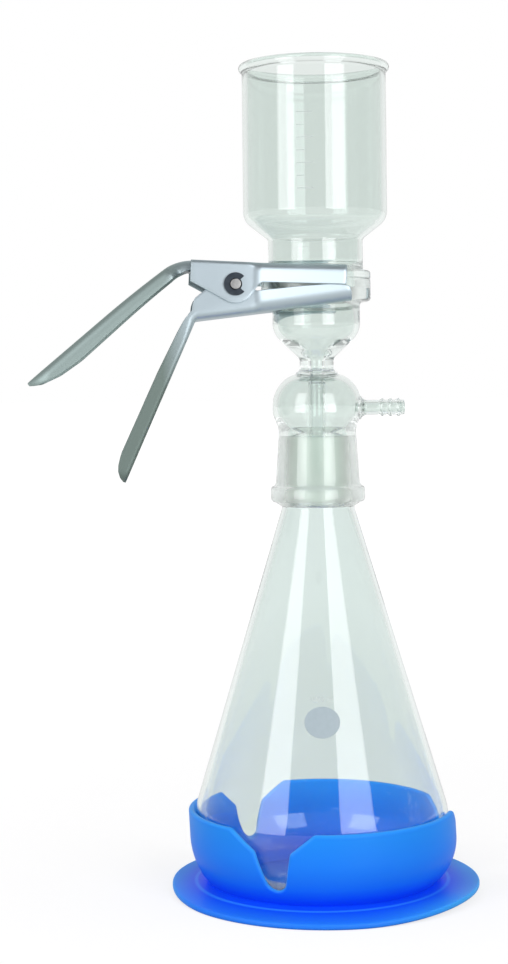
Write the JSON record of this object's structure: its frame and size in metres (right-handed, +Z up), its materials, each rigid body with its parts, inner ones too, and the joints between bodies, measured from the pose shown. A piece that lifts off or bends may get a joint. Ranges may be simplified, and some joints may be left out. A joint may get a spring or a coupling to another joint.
{
  "type": "vacuum filtration unit",
  "caption": "Glass vacuum filtration unit: graduated funnel, support with sintered disc and hose arm, spring clamp, conical flask with ground joint, silicone foot.",
  "frame": {"origin": "on the glass axis, level with the silicone foot's underside", "axes": "+Z up along the glass axis, +X along the side arm; the clamp's handles point towards -X, turned 5 degrees about +Z"},
  "size_m": [0.2308, 0.159, 0.4282],
  "materials": {
    "silicone": "matte",
    "clear_glass": "clear",
    "frosted_glass": "clear, ground at the joint",
    "sintered_glass": "porous white",
    "clamp_metal": "satin",
    "pin_metal": "brushed",
    "spring_steel": "bright",
    "ring_steel": "dark phosphated"
  },
  "bodies": {
    "stand": {"silicone_foot": "silicone", "flask": "clear_glass", "filter_support": "frosted_glass", "sintered_disc": "sintered_glass", "funnel": "clear_glass", "lower_jaw": "clamp_metal", "pivot_pin": "pin_metal", "torsion_spring": "spring_steel", "front_ring": "ring_steel", "rear_ring": "ring_steel"},
    "clamp_lever": {"upper_jaw": "clamp_metal"}
  },
  "joints": [
    {"name": "clamp_hinge", "type": "hinge", "parent": "stand", "child": "clamp_lever", "pos_m": [-0.04264, -0.00373, 0.31315], "axis": [0.0872, -0.9962, 0], "range_deg": [0, 16], "stiffness_Nm_per_rad": 0.8, "springref_deg": -25.78, "deforming": ["torsion_spring"]}
  ]
}
